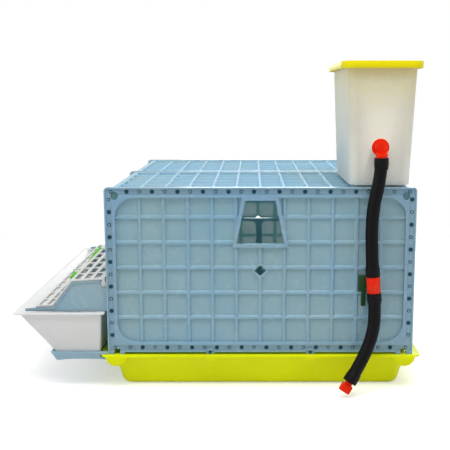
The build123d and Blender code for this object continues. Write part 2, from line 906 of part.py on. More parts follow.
def tank_form(z, x, y, radius):
    """A tapered box about the tank's axis with rounded upright edges."""
    reach = x + y + tank_spread
    with BuildPart() as form:
        with BuildSketch(Plane((*tank_at, z), x_dir=(1, 0, 0), z_dir=(0, -1, 0))):
            flared(x)
        extrude(amount=reach, both=True)
        with BuildSketch(Plane((*tank_at, z), x_dir=(0, 1, 0), z_dir=(1, 0, 0))):
            flared(y)
        extrude(amount=reach, both=True, mode=Mode.INTERSECT)
        fillet(form.edges().filter_by(upright_edge), radius=radius)
    return form.part


def tank_section(z, x, y, radius):
    """One rounded rectangle about the tank's axis at a height."""
    with BuildSketch(Plane.XY.offset(z)) as section:
        with Locations(tank_at):
            RectangleRounded(x, y, radius)
    return section.sketch


inner_x = tank_base_x - 2 * tank_wall
inner_y = tank_base_y - 2 * tank_wall
rim_x = tank_base_x + tank_spread + 2 * tank_rim_width
rim_y = tank_base_y + tank_spread + 2 * tank_rim_width
rim_radius = tank_corner_radius + tank_rim_width
ring_x = tank_base_x - 2 * tank_foot_inset
ring_y = tank_base_y - 2 * tank_foot_inset
tank_outside = tank_form(tank_bottom, tank_base_x, tank_base_y, tank_corner_radius)
tank_inside = tank_form(tank_bottom + tank_wall, inner_x, inner_y, tank_corner_radius - tank_wall)
with BuildPart() as tank:
    add(tank_outside)
    extrude(tank_section(tank_top, rim_x, rim_y, rim_radius), amount=-tank_rim_thickness)
    # flat pad for the outlet elbow
    with BuildSketch(elbow_plane):
        RegularPolygon(elbow_pad_radius, round_sides)
    extrude(amount=-elbow_pad_length)
    # standing ring under the floor
    with BuildSketch(Plane.XY.offset(roof_top)):
        with Locations(tank_at):
            Rectangle(ring_x, ring_y)
            Rectangle(ring_x - 2 * tank_foot_width, ring_y - 2 * tank_foot_width, mode=Mode.SUBTRACT)
    extrude(amount=tank_foot_height)
    add(tank_inside, mode=Mode.SUBTRACT)
    # inner boss for the nut, and the outlet hole
    with BuildSketch(elbow_plane.offset(-elbow_pad_length)):
        RegularPolygon(elbow_pad_radius, round_sides)
    extrude(amount=elbow_pad_length - elbow_pad_proud)
    with BuildSketch(elbow_plane):
        RegularPolygon(elbow_spigot_radius + elbow_spigot_gap, small_sides)
    extrude(amount=-elbow_pad_length, mode=Mode.SUBTRACT)
keep(tank, "water_tank")

# Tank lid
lid_inner_x = rim_x + 2 * lid_clearance
lid_inner_y = rim_y + 2 * lid_clearance
lid_inner_radius = rim_radius + lid_clearance
lid_top = tank_top + lid_seat_gap + lid_wall
lid_skirt = lid_top - lid_height
lid_x = lid_inner_x + 2 * lid_wall
lid_y = lid_inner_y + 2 * lid_wall
with BuildPart() as lid:
    extrude(tank_section(lid_skirt, lid_x, lid_y, lid_inner_radius + lid_wall), amount=lid_height)
    lid_hollow = tank_section(lid_skirt, lid_inner_x, lid_inner_y, lid_inner_radius)
    extrude(lid_hollow, amount=lid_height - lid_wall, mode=Mode.SUBTRACT)
keep(lid, "tank_lid")

# Outlet elbow, its seal and its nut
seal_plane = elbow_plane.offset(elbow_seal_thickness)
flange_plane = seal_plane.offset(elbow_flange_thickness)
outlet_z = elbow_z - elbow_drop
elbow_outlet_y = elbow_pad_y - elbow_seal_thickness - elbow_flange_thickness - elbow_reach
spigot_length = elbow_pad_length + elbow_seal_thickness + nut_thickness + elbow_spigot_reach
with BuildPart() as seal:
    with BuildSketch(elbow_plane):
        RegularPolygon(elbow_seal_radius, round_sides)
        RegularPolygon(elbow_spigot_radius + elbow_spigot_gap, small_sides, mode=Mode.SUBTRACT)
    extrude(amount=elbow_seal_thickness)
keep(seal, "elbow_seal")

with BuildPart() as elbow:
    with BuildSketch(seal_plane):
        RegularPolygon(elbow_flange_radius, round_sides)
    extrude(amount=elbow_flange_thickness)
    with BuildSketch(flange_plane):
        RegularPolygon(elbow_body_radius, round_sides)
    extrude(amount=elbow_reach + elbow_body_radius)
    with BuildSketch(Plane.XY.offset(outlet_z)):
        with Locations((elbow_x, elbow_outlet_y)):
            RegularPolygon(elbow_neck_radius, round_sides)
    extrude(amount=elbow_drop)
    with BuildSketch(seal_plane):
        RegularPolygon(elbow_spigot_radius, small_sides)
    extrude(amount=-spigot_length)
keep(elbow, "tank_elbow")

with BuildPart() as nut:
    with BuildSketch(elbow_plane.offset(-elbow_pad_length)):
        RegularPolygon(nut_across_flats / 2, 6, major_radius=False)
        RegularPolygon(elbow_spigot_radius + elbow_spigot_gap, small_sides, mode=Mode.SUBTRACT)
    extrude(amount=-nut_thickness)
keep(nut, "elbow_nut")

# Hose coupling with its branch into the cage
rib_face = side_inner + rib_level
coupling_up = Vector(-sin(radians(coupling_tilt)), 0, cos(radians(coupling_tilt)))
coupling_center = Vector(coupling_x, coupling_y, coupling_z)
coupling_foot = coupling_center - coupling_up * (coupling_length / 2)
coupling_head = coupling_center + coupling_up * (coupling_length / 2)
with BuildPart() as coupling:
    with BuildSketch(Plane(coupling_foot, x_dir=(0, 1, 0), z_dir=coupling_up)):
        RegularPolygon(coupling_radius, small_sides)
    extrude(amount=coupling_length)
    with BuildSketch(upright_plane((coupling_x, -rib_face, coupling_z), (0, -1, 0))):
        RegularPolygon(branch_radius, small_sides)
    extrude(amount=-rib_face - coupling_y)
keep(coupling, "hose_coupling")

# Clip behind the coupling
with BuildPart() as clip:
    with BuildSketch(upright_plane((coupling_x, -rib_face, coupling_z), (0, -1, 0))):
        with Locations((-clip_reach + clip_width / 2, -clip_drop)):
            Rectangle(clip_width, clip_height)
        with Locations((-clip_reach + clip_width - clip_tail_width / 2, -clip_tail_drop)):
            Rectangle(clip_tail_width, clip_tail_drop)
        with Locations((-(clip_reach - clip_fork) / 2, 0)):
            Rectangle(clip_reach + clip_fork, 2 * clip_fork)
        RegularPolygon(branch_radius + clip_eye_gap, small_sides, mode=Mode.SUBTRACT)
        with Locations((clip_fork / 2, 0)):
            Rectangle(clip_fork, 2 * (branch_radius + clip_eye_gap), mode=Mode.SUBTRACT)
    extrude(amount=clip_thickness)
keep(clip, "coupling_clip")

# Hoses: straight runs joined by tangent arcs
elbow_outlet = Vector(elbow_x, elbow_outlet_y, outlet_z)
upper_route = [
    elbow_outlet,
    elbow_outlet - Vector(0, 0, elbow_run),
    *[Vector(*point) for point in upper_points],
    coupling_head + coupling_up * upper_end_run,
    coupling_head,
]
lower_route = [
    coupling_foot,
    coupling_foot - coupling_up * lower_first_run,
    *[Vector(*point) for point in lower_points],
]


def hose(name, points):
    """A round hose along a route, with each bend as large as its two runs allow."""
    runs = [end - start for start, end in zip(points, points[1:])]
    radii = []
    for before, after in zip(runs, runs[1:]):
        half_turn = radians(before.get_angle(after) / 2)
        radii.append(bend_share * min(before.length, after.length) / tan(half_turn))
    with BuildPart() as tube:
        with BuildLine() as route:
            FilletPolyline(*points, radius=radii)
        with BuildSketch(Plane(origin=points[0], z_dir=runs[0])) as section:
            RegularPolygon(hose_radius, hose_sides)
        sweep()
    length = sum(edge.length for edge in route.edges())
    ratio = tube.part.volume / (section.sketch.area * length)
    print(name, "bend radii", [round(radius) for radius in radii])
    print(name, "length", round(length, 1), "volume ratio", round(ratio, 4))
    keep(tube, name)


hose("upper_hose", upper_route)
hose("lower_hose", lower_route)


def cuff(end, along):
    """A sleeve round a hose end, from its end face along the hose."""
    plane = Plane(origin=end, z_dir=along)
    with BuildPart() as sleeve:
        with BuildSketch(plane):
            RegularPolygon(cuff_radius, small_sides)
            RegularPolygon(hose_radius + cuff_gap, small_sides, major_radius=False, mode=Mode.SUBTRACT)
        extrude(amount=cuff_length)
    return sleeve.part


plug_start = lower_route[-1]
plug_along = (lower_route[-1] - lower_route[-2]).normalized()
with BuildPart() as cuffs:
    add(cuff(elbow_outlet, Vector(0, 0, -1)))
    add(cuff(coupling_head, coupling_up))
    add(cuff(coupling_foot, -coupling_up))
    add(cuff(plug_start, -plug_along))
keep(cuffs, "hose_cuffs")

# Flat plug in the lower hose's end
plug_plane = Plane(plug_start, x_dir=Vector(0, 1, 0).cross(plug_along), z_dir=plug_along)
with BuildPart() as plug:
    with BuildSketch(plug_plane.offset(plug_neck_length)):
        Rectangle(plug_width, plug_thickness)
    extrude(amount=plug_length)
    chamfer(plug.edges(), length=plug_bevel)
    with BuildSketch(plug_plane):
        RegularPolygon(plug_neck_radius, small_sides)
    extrude(amount=plug_neck_length)
keep(plug, "hose_plug")

# Water pipe through both cells
pipe_length = rib_face + side_inner - seat_gap
pipe_plane = upright_plane((coupling_x, -rib_face, coupling_z), (0, 1, 0))
with BuildPart() as pipe:
    with BuildSketch(pipe_plane):
        Rectangle(pipe_side, pipe_side)
    extrude(amount=pipe_length)
keep(pipe, "water_pipe")

# Nipple drinkers on the pipe, each with a pin that a beak pushes up
nozzle_end = coupling_z - pipe_side / 2 - drinker_length
nose_end = nozzle_end - drinker_nose_height
pin_hole_depth = pin_depth + pin_travel + pin_headroom
drinker_places = [(coupling_x, center) for center in cells.values()]
with BuildPart() as drinkers:
    with BuildSketch(Plane.XY.offset(nozzle_end)):
        with Locations(*drinker_places):
            RegularPolygon(drinker_across_flats / 2, 6, major_radius=False)
    extrude(amount=drinker_length)
    with BuildSketch(Plane.XY.offset(nose_end)):
        with Locations(*drinker_places):
            RegularPolygon(drinker_nose_radius, small_sides)
    extrude(amount=drinker_nose_height)
    with BuildSketch(Plane.XY.offset(nose_end)):
        with Locations(*drinker_places):
            RegularPolygon(pin_radius + pin_gap, small_sides)
    extrude(amount=pin_hole_depth, mode=Mode.SUBTRACT)
keep(drinkers, "nipple_drinkers")

for side, center in cells.items():
    with BuildPart() as pin:
        with BuildSketch(Plane.XY.offset(nose_end - pin_reach)):
            with Locations((coupling_x, center)):
                RegularPolygon(pin_radius, small_sides)
        extrude(amount=pin_reach + pin_depth)
    keep(pin, f"{side}_drinker_pin")
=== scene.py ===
"""Looks of a two-cell quail cage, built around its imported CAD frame.

Metres. +X points to the rear of the cage, +Y to the far side, +Z up.
"""

import json
from math import cos, pi, radians, sin

import bmesh
import bpy
from mathutils import Matrix, Vector


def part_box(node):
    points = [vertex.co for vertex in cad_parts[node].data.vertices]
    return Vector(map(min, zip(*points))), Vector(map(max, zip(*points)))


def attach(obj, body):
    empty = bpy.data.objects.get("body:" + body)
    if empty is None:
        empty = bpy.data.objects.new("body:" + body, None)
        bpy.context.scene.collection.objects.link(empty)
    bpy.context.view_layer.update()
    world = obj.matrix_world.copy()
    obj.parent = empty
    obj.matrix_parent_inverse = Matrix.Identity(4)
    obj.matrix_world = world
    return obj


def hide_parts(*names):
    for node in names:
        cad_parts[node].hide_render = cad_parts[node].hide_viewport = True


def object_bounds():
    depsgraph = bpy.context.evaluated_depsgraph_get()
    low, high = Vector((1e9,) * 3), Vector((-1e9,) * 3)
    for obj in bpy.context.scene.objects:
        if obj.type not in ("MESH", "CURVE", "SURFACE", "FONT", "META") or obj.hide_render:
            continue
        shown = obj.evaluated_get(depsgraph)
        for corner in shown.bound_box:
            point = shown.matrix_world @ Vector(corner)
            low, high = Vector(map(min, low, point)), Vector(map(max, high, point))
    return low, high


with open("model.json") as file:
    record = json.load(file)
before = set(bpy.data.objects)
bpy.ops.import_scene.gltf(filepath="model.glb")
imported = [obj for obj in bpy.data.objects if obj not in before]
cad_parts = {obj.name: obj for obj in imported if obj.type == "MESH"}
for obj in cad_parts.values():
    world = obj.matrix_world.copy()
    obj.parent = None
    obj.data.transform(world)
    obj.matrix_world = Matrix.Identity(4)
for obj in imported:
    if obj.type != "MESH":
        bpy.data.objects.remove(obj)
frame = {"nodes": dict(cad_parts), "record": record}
cad_low, cad_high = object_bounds()
nodes = frame["nodes"]
mm = 0.001

# Camera of the photograph, with its angles in degrees
image_size = 450
focal_px = 798.3
principal_px = (253.8, 221.9)
camera_at = (-13.5 * mm, -1664.0 * mm, 516.8 * mm)
camera_pitch = 9.029
camera_yaw = 0.087
camera_reach = 100
sensor = 36.0

# Hoses: the routes of the CAD model
hose_diameter = 22 * mm
coupling_tilt = radians(4.7)
coupling_center = Vector((195.2, -320.0, 193.6)) * mm
coupling_up = Vector((-sin(coupling_tilt), 0, cos(coupling_tilt)))
coupling_half = 14.5 * mm
coupling_head = coupling_center + coupling_up * coupling_half
coupling_foot = coupling_center - coupling_up * coupling_half
upper_end_run = 44 * mm
lower_first_run = 38 * mm
elbow_low, elbow_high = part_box("tank_elbow")
elbow_x = (elbow_low.x + elbow_high.x) / 2
outlet_y = -314.1 * mm
elbow_run = 30 * mm
elbow_outlet = Vector((elbow_x, outlet_y, elbow_low.z))
upper_route = [
    elbow_outlet,
    elbow_outlet - Vector((0, 0, elbow_run)),
    Vector((190.5, -317.0, 322.0)) * mm,
    coupling_head + coupling_up * upper_end_run,
    coupling_head,
]
lower_route = [
    coupling_foot,
    coupling_foot - coupling_up * lower_first_run,
    Vector((194.0, -325.5, 100.0)) * mm,
    Vector((172.5, -338.0, 56.0)) * mm,
    Vector((153.0, -347.0, 27.0)) * mm,
]


def srgb(red, green, blue):
    """Linear colour of an sRGB colour given in 0 to 255."""
    def linear(value):
        share = value / 255
        return share / 12.92 if share <= 0.04045 else ((share + 0.055) / 1.055) ** 2.4

    return (linear(red), linear(green), linear(blue), 1)


# Materials
black = (0, 0, 0, 1)
full_white = (1, 1, 1, 1)
grey_shades = ((0.94, 0.94, 0.94, 1), full_white)
blue_shades = ((0.88, 0.94, 0.98, 1), (1.0, 0.96, 0.91, 1))
cloud_scale = 7.0
cloud_places = (0.38, 0.62)
flow_scale = 11.0
flow_twist = 1.4
flow_places = (0.48, 0.5, 0.52)
grain_scale = 900.0
grain_depth = 0.4 * mm
shinier = 0.06
duller = 0.08
# half the thickness of a wall's skin, in millimetres
half_skin = 0.9
# colour sockets of a Mix node
mix_first = 6
mix_second = 7
mix_result = 2
materials = {}


def node_maker(tree):
    """A shortcut that makes a node in a tree, with values for its inputs and settings."""
    def make(kind, **settings):
        node = tree.nodes.new(kind)
        for key, value in settings.items():
            if key in node.inputs:
                node.inputs[key].default_value = value
            else:
                setattr(node, key, value)
        return node

    return make


def new_material(name):
    """A material with a shortcut for links, its shader and a shortcut for nodes."""
    material = bpy.data.materials.new(name)
    material.use_nodes = True
    tree = material.node_tree
    return material, tree.links.new, tree.nodes["Principled BSDF"], node_maker(tree)


def ramp(make, stops):
    """A colour ramp with the given places and colours."""
    node = make("ShaderNodeValToRGB")
    elements = node.color_ramp.elements
    while len(elements) < len(stops):
        elements.new(1.0)
    for element, (place, colour) in zip(elements, stops):
        element.position = place
        element.color = colour
    return node


def plastic(
    name,
    stops,
    marks,
    roughness,
    levels=None,
    streaks=0.2,
    shades=grey_shades,
    bump=0.1,
    gloss=0.25,
    glow=None,
    painted_inner_glow=None,
):
    """Moulded plastic with a cloudy tone, faint flow marks and a fine grain.

    With levels, an axis and two distances from the origin in millimetres, the colours run from one level
    to the other. With glow, a weight and a reach in millimetres for each colour, light spreads below the
    surface. With a colour for the painted inner glow, the inner face of a wall emits that colour: painted
    light that stands in for the daylight coming through its thin skin.
    """
    material, link, shader, make = new_material(name)
    place = make("ShaderNodeTexCoord").outputs["Object"]
    clouds = make("ShaderNodeTexNoise", Scale=cloud_scale, Detail=4.0)
    link(place, clouds.inputs["Vector"])
    tone = ramp(make, stops)
    if levels:
        axis, low, high = levels
        split = make("ShaderNodeSeparateXYZ")
        link(place, split.inputs["Vector"])
        distance = make("ShaderNodeMath", operation="ABSOLUTE")
        link(split.outputs[axis], distance.inputs[0])
        depth = make("ShaderNodeMapRange")
        depth.inputs["From Min"].default_value = low * mm
        depth.inputs["From Max"].default_value = high * mm
        link(distance.outputs["Value"], depth.inputs["Value"])
        link(depth.outputs["Result"], tone.inputs["Fac"])
        # painted glow: the wall's inner faces emit the given colour, standing in for daylight through the
        # thin skin
        if painted_inner_glow:
            glowing_inner_face = make("ShaderNodeMath", operation="LESS_THAN")
            glowing_inner_face.inputs[1].default_value = (low - half_skin) * mm
            link(distance.outputs["Value"], glowing_inner_face.inputs[0])
            link(glowing_inner_face.outputs["Value"], shader.inputs["Emission Strength"])
            shader.inputs["Emission Color"].default_value = painted_inner_glow
    else:
        link(clouds.outputs["Fac"], tone.inputs["Fac"])
    shade = ramp(make, list(zip(cloud_places, shades)))
    link(clouds.outputs["Fac"], shade.inputs["Fac"])
    mottled = make("ShaderNodeMix", data_type="RGBA", blend_type="MULTIPLY")
    mottled.inputs["Factor"].default_value = 1.0
    link(tone.outputs["Color"], mottled.inputs[mix_first])
    link(shade.outputs["Color"], mottled.inputs[mix_second])
    flow = make("ShaderNodeTexNoise", Scale=flow_scale, Detail=2.0, Distortion=flow_twist)
    link(place, flow.inputs["Vector"])
    streak = (streaks, streaks, streaks, 1)
    lines = ramp(make, list(zip(flow_places, (black, streak, black))))
    link(flow.outputs["Fac"], lines.inputs["Fac"])
    marked = make("ShaderNodeMix", data_type="RGBA")
    marked.inputs[mix_second].default_value = marks
    link(lines.outputs["Color"], marked.inputs["Factor"])
    link(mottled.outputs[mix_result], marked.inputs[mix_first])
    link(marked.outputs[mix_result], shader.inputs["Base Color"])
    sheen = make("ShaderNodeMapRange")
    sheen.inputs["To Min"].default_value = roughness - shinier
    sheen.inputs["To Max"].default_value = roughness + duller
    link(clouds.outputs["Fac"], sheen.inputs["Value"])
    link(sheen.outputs["Result"], shader.inputs["Roughness"])
    grain = make("ShaderNodeTexNoise", Scale=grain_scale, Detail=2.0)
    link(place, grain.inputs["Vector"])
    dents = make("ShaderNodeBump", Strength=bump, Distance=grain_depth)
    link(grain.outputs["Fac"], dents.inputs["Height"])
    link(dents.outputs["Normal"], shader.inputs["Normal"])
    shader.inputs["Specular IOR Level"].default_value = gloss
    if glow:
        weight, reach = glow
        shader.inputs["Subsurface Weight"].default_value = weight
        shader.inputs["Subsurface Radius"].default_value = reach
        shader.inputs["Subsurface Scale"].default_value = mm
    materials[name] = material


# Blue panels: their colours on skins, ribs and frames, and where these lie
blue_places = (0.1, 0.45, 0.6, 1.0)
blue_mark = srgb(178, 206, 218)
blue_glow = (0.25, (20.0, 23.0, 21.0))
blue_skin = srgb(138, 174, 188)
blue_rib = srgb(132, 167, 188)
blue_frame = srgb(129, 164, 188)
# colour of the roof's painted inner glow, standing in for daylight through the roof
roof_painted_glow = srgb(120, 165, 165)
side_levels = ("Y", 293.8, 300.0)
roof_levels = ("Z", 352.3, 358.5)
wall_levels = ("X", 255.8, 262.0)


def blue_plastic(name, skin, rib, panel_frame, levels=None, roughness=0.22, gloss=0.5, painted_inner_glow=None):
    """The cage's blue plastic, in its colours on thin skins, on ribs and on thick frames."""
    plastic(
        name,
        list(zip(blue_places, (skin, rib, rib, panel_frame))),
        blue_mark,
        roughness,
        levels,
        streaks=0.14,
        shades=blue_shades,
        gloss=gloss,
        glow=blue_glow,
        painted_inner_glow=painted_inner_glow,
    )


blue_plastic("blue_plastic", srgb(136, 165, 181), srgb(140, 170, 186), srgb(146, 176, 192))
blue_plastic("blue_side_panel", blue_skin, blue_rib, blue_frame, side_levels)
blue_plastic("blue_wall_panel", blue_skin, blue_rib, blue_frame, wall_levels)
# Roof: the same plastic as the sides, painted lighter for the light it catches and reflects from above,
# with a painted glow on its inner faces
blue_plastic(
    "blue_roof_painted_lighter",
    srgb(153, 188, 208),
    srgb(158, 193, 213),
    srgb(154, 189, 209),
    roof_levels,
    roughness=0.62,
    gloss=0.05,
    painted_inner_glow=roof_painted_glow,
)

# Water tank: tinted near its yellow lid
tank_low, tank_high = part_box("water_tank")
tank_tints = [
    (0.0, srgb(240, 239, 228)),
    (0.6, srgb(233, 230, 211)),
    (0.86, srgb(232, 223, 184)),
    (1.0, srgb(230, 209, 138)),
]
plastic(
    "milky_plastic",
    tank_tints,
    marks=srgb(246, 245, 236),
    roughness=0.4,
    levels=("Z", tank_low.z / mm, tank_high.z / mm),
    streaks=0.1,
    bump=0.05,
    glow=(0.4, (5.0, 5.0, 4.0)),
)

# Finishes of one colour: the colour, its flow marks, roughness, grain and gloss
plain_finishes = {
    "yellow_plastic": ((230, 236, 4), (236, 240, 50), 0.34, 0.05, 0.1),
    "lid_plastic": ((238, 224, 12), (240, 232, 60), 0.34, 0.05, 0.1),
    "white_plastic": ((213, 214, 210), (240, 240, 238), 0.36, 0.05, 0.25),
    "trough_plastic": ((228, 228, 227), (236, 236, 235), 0.36, 0.05, 0.25),
    # dark colour painted in for the shade inside the peg holes, peg recesses and tab holes
    "peg_hole_painted_shade": ((42, 76, 90), (56, 94, 108), 0.6, 0.1, 0.05),
    "corner_plug_green": ((84, 132, 136), (122, 168, 168), 0.45, 0.1, 0.25),
    "lime_plastic": ((104, 208, 40), (160, 230, 110), 0.35, 0.05, 0.25),
    "dark_green_plastic": ((22, 64, 24), (40, 96, 40), 0.45, 0.1, 0.25),
    "red_plastic": ((232, 38, 2), (240, 84, 48), 0.2, 0.05, 0.12),
    "black_rubber": ((9, 9, 11), (24, 24, 28), 0.42, 0.2, 0.1),
    "steel": ((200, 200, 203), (228, 228, 230), 0.3, 0.1, 0.25),
}
for finish, (colour, marks, roughness, grain, gloss) in plain_finishes.items():
    one_colour = [(0.0, srgb(*colour)), (1.0, srgb(*colour))]
    plastic(finish, one_colour, srgb(*marks), roughness, bump=grain, gloss=gloss)
materials["steel"].node_tree.nodes["Principled BSDF"].inputs["Metallic"].default_value = 1.0

# Finish of the CAD nodes: softened edges, and their slot's material or one of their own
node_material = {
    "near_side_panel": "blue_side_panel",
    "far_side_panel": "blue_side_panel",
    "feed_trough": "trough_plastic",
    "tank_lid": "lid_plastic",
}
for cell in ("near", "far"):
    node_material[f"{cell}_roof_panel"] = "blue_roof_painted_lighter"
    node_material[f"{cell}_rear_panel"] = "blue_wall_panel"
    node_material[f"{cell}_front_panel"] = "blue_wall_panel"
edge_round = 0.7 * mm
edge_segments = 2
weld_distance = 0.01 * mm
crease_angle = radians(32)
flat_endings = ("_panel", "_grid", "_cheek")


def soften(piece, width, smooth=True):
    """Round a piece's sharp edges a little and shade it."""
    for face in piece.data.polygons:
        face.use_smooth = smooth
    weld = piece.modifiers.new("weld", "WELD")
    weld.merge_threshold = weld_distance
    bevel = piece.modifiers.new("bevel", "BEVEL")
    bevel.width = width
    bevel.segments = edge_segments
    bevel.limit_method = "ANGLE"
    bevel.angle_limit = crease_angle
    bevel.harden_normals = True


for entry in frame["record"]["subparts"]:
    node_name = entry["node"]
    node = nodes[node_name]
    node.data.materials.clear()
    node.data.materials.append(materials[node_material.get(node_name, entry["material_slot"])])
    soften(node, edge_round, smooth=not node_name.endswith(flat_endings))


def add_piece(name, data, slot_name, material_name=None):
    """Link a new piece of the cage, with its slot's material or one of its own."""
    piece = bpy.data.objects.new(name, data)
    bpy.context.scene.collection.objects.link(piece)
    piece.data.materials.append(materials[material_name or slot_name])
    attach(piece, "cage")
    return piece


def mesh_of(name, shape):
    """A mesh made from a finished bmesh."""
    bmesh.ops.recalc_face_normals(shape, faces=shape.faces)
    data = bpy.data.meshes.new(name)
    shape.to_mesh(data)
    shape.free()
    return data


def add_shape(name, shape, slot_name, material_name=None):
    """Finish a bmesh and add it as a piece of the cage."""
    return add_piece(name, mesh_of(name, shape), slot_name, material_name)


def join_rings(shape, rings, sides):
    """Add the faces between neighbouring rings of points, where a ring may be one point."""
    for low, high in zip(rings, rings[1:]):
        for i in range(sides):
            corners = [
                low[i % len(low)],
                low[(i + 1) % len(low)],
                high[(i + 1) % len(high)],
                high[i % len(high)],
            ]
            shape.faces.new(list(dict.fromkeys(corners)))


def turned(shape, profile, place, sides):
    """Add a turned form to a bmesh: a profile of radius and height about a placed z axis."""
    angles = [2 * pi * i / sides for i in range(sides)]
    rings = []
    for radius, height in profile:
        if radius == 0:
            rings.append([shape.verts.new(place @ Vector((0, 0, height)))])
            continue
        points = [Vector((radius * cos(a), radius * sin(a), height)) for a in angles]
        rings.append([shape.verts.new(place @ point) for point in points])
    join_rings(shape, rings, sides)


def disc(radius, height):
    """Profile of a disc that stands on its seat."""
    return [(radius, 0), (radius, height), (0, height)]


def facing(at, outward):
    """Placement whose z axis points outward from a point."""
    return Matrix.Translation(at) @ Vector(outward).to_track_quat("Z", "Y").to_matrix().to_4x4()


# Peg holes shown as dark discs of painted shade, pegs and corner plugs of the two side panels, and the
# tabs on their lower edges with painted shade discs for their holes
panel_low, panel_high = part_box("near_side_panel")
tray_rim_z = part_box("manure_tray")[1].z
panel_half_height = 147 * mm
panel_middle = panel_high.z - panel_half_height
channel_inset = 7.75 * mm
channel_sunk = 3 * mm
peg_step = 22 * mm
# radii of the dark discs painted in for the shade in an open hole and in the recess round a peg
peg_hole_radius = 3.8 * mm
peg_ring_radius = 3.2 * mm
peg_radius = 1.9 * mm
peg_height = 0.8 * mm
peg_sides = 12
# thickness of the painted shade discs
film = 0.3 * mm
row_count = 24
column_count = 12
column_rise = 4.7 * mm
row_z = panel_half_height - channel_inset
column_x = panel_high.x - channel_inset
corner_peg_x = 258 * mm
socket_inset = Vector((18, 15)) * mm
socket_depth = 5.5 * mm
plug_radius = 5.7 * mm
plug_height = 3.5 * mm
plug_wall = 1 * mm
plug_dish = 1 * mm
plug_sides = 20
tab_place = 89 * mm
tab_radius = 7 * mm
tab_sides = 24
tab_hole_radius = 3.2 * mm
tab_clearance = 0.4 * mm
plug_profile = [
    (plug_radius, 0),
    (plug_radius, plug_height),
    (plug_radius - plug_wall, plug_height),
    (plug_radius - plug_wall, plug_height - plug_dish),
    (0, plug_height - plug_dish),
]


def edge_places():
    """Places along a panel's edges, and whether the CAD panel has a hole there."""
    for i in range(row_count):
        x = (i - (row_count - 1) / 2) * peg_step
        if i in (0, row_count - 1):
            x = corner_peg_x if i else -corner_peg_x
        yield x, row_z, i % 2 == 1 and i < row_count - 1
        yield x, -row_z, i % 2 == 0 and i > 0
    for i in range(column_count):
        z = column_rise + (i - (column_count - 1) / 2) * peg_step
        yield -column_x, z, i % 2 == 0
        yield column_x, z, i % 2 == 1


def on_panel(outward, x, z, sunk):
    """Placement on a side panel, looking outward from a depth below its face."""
    panel_face = -outward * panel_low.y
    return facing((-outward * x, panel_face - outward * sunk, panel_middle + z), (0, outward, 0))


for side, outward in (("near", -1), ("far", 1)):
    pegs = bmesh.new()
    hole_shades = bmesh.new()
    plugs = bmesh.new()
    tabs = bmesh.new()
    for x, z, is_hole in edge_places():
        seat = on_panel(outward, x, z, channel_sunk)
        # a dark disc of painted shade in each hole, and in the recess round each peg
        turned(hole_shades, disc(peg_hole_radius if is_hole else peg_ring_radius, film), seat, peg_sides)
        if not is_hole:
            turned(pegs, disc(peg_radius, peg_height), seat, peg_sides)
    for x in (socket_inset.x - panel_high.x, panel_high.x - socket_inset.x):
        socket = on_panel(outward, x, panel_half_height - socket_inset.y, socket_depth)
        turned(plugs, plug_profile, socket, plug_sides)
    for x in (-tab_place, tab_place):
        tab_seat = on_panel(outward, x, -panel_half_height, channel_sunk)
        turned(tabs, disc(tab_radius, channel_sunk), tab_seat, tab_sides)
        # a dark disc of painted shade in the tab's hole
        tab_face = on_panel(outward, x, -panel_half_height, 0)
        turned(hole_shades, disc(tab_hole_radius, film), tab_face, peg_sides)
    # the tabs end just above the tray's rim
    for shape in (tabs, hole_shades):
        bmesh.ops.bisect_plane(
            shape,
            geom=shape.verts[:] + shape.edges[:] + shape.faces[:],
            plane_co=(0, 0, tray_rim_z + tab_clearance),
            plane_no=(0, 0, -1),
            clear_outer=True,
        )
    bmesh.ops.holes_fill(tabs, edges=[edge for edge in tabs.edges if edge.is_boundary])
    add_shape(f"{side}_edge_pegs", pegs, "blue_plastic")
    add_shape(f"{side}_peg_hole_shade_discs", hole_shades, "blue_plastic", "peg_hole_painted_shade")
    add_shape(f"{side}_corner_plugs", plugs, "blue_plastic", "corner_plug_green")
    add_shape(f"{side}_edge_tabs", tabs, "blue_plastic", "blue_side_panel")

# Divider with a post and two open bays below its window
divider_low, divider_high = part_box("divider_panel")
divider_end = divider_high.x
divider_round = 7 * mm
foot_width = 30 * mm
foot_z = divider_low.z - panel_middle
field_half = Vector((252, 129)) * mm
window_sill = 47.8 * mm
window_top = 124 * mm
sill_half = 42 * mm
top_half = 26 * mm
frame_width = 6 * mm
post_half = 6.3 * mm
bay_round = 10 * mm
bay_top = window_sill - frame_width
round_steps = 5


def rounded_box(low, high, radius):
    """Corner points of a rectangle with rounded corners."""
    centers = [
        (high.x - radius, high.y - radius),
        (low.x + radius, high.y - radius),
        (low.x + radius, low.y + radius),
        (high.x - radius, low.y + radius),
    ]
    points = []
    for quarter, (x, y) in enumerate(centers):
        for i in range(round_steps + 1):
            turn = pi / 2 * (quarter + i / round_steps)
            points.append((x + radius * cos(turn), y + radius * sin(turn)))
    return points


def plate(name, outlines, y_low, y_high):
    """A flat plate across X and Z from outlines about the panels' middle: a rim and its holes."""
    curve = bpy.data.curves.new(name, "CURVE")
    curve.dimensions = "2D"
    curve.fill_mode = "BOTH"
    curve.extrude = (y_high - y_low) / 2
    for outline in outlines:
        spline = curve.splines.new("POLY")
        spline.points.add(len(outline) - 1)
        for point, (x, z) in zip(spline.points, outline):
            point.co = (x, z, 0, 1)
        spline.use_cyclic_u = True
    maker = bpy.data.objects.new(name, curve)
    data = bpy.data.meshes.new_from_object(maker)
    bpy.data.objects.remove(maker)
    stand_up = Matrix.Rotation(pi / 2, 4, "X")
    data.transform(Matrix.Translation((0, (y_low + y_high) / 2, panel_middle)) @ stand_up)
    return data


